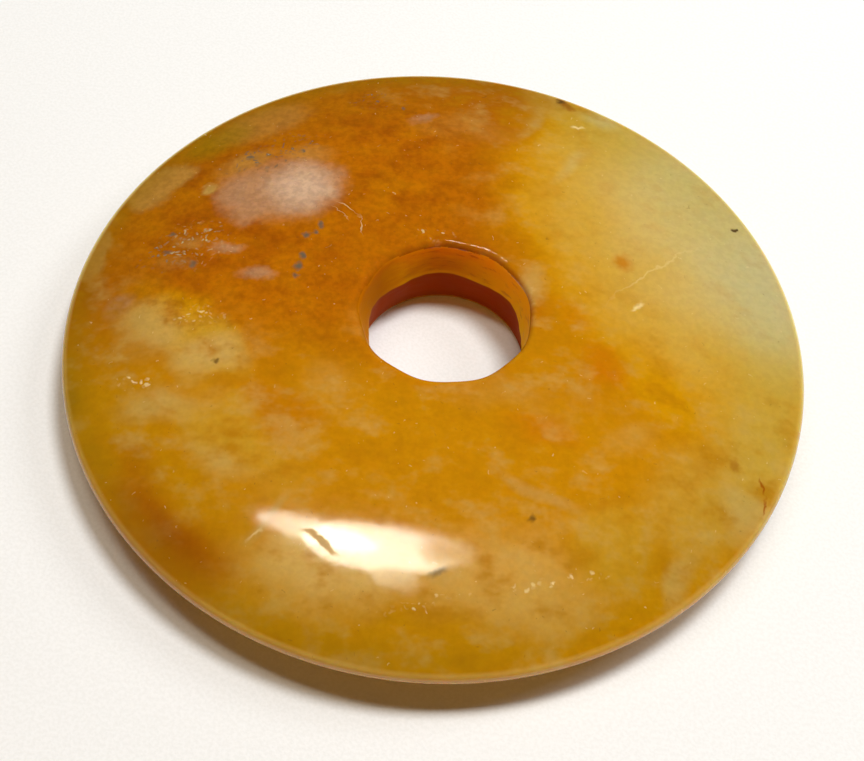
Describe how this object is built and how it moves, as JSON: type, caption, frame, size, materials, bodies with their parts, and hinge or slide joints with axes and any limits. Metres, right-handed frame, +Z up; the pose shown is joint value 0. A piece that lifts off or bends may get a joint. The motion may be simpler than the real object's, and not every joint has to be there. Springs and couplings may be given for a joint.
{
  "type": "jade bi disc",
  "caption": "Round lens-shaped disc of polished yellow jade with a drilled hole in its middle, worn on a cord through the hole or laid flat.",
  "frame": {"origin": "centre of the disc's outline on the plane it lies on, z = 0", "axes": "+Z up through the disc's thickness, +X towards the side the hole is shifted to, +Y away from the viewer of the picture"},
  "size_m": [0.05, 0.05, 0.006],
  "materials": {
    "jade": "polished, translucent, mottled yellow-brown"
  },
  "bodies": {
    "root": {"jade_disc": "jade"}
  },
  "joints": []
}
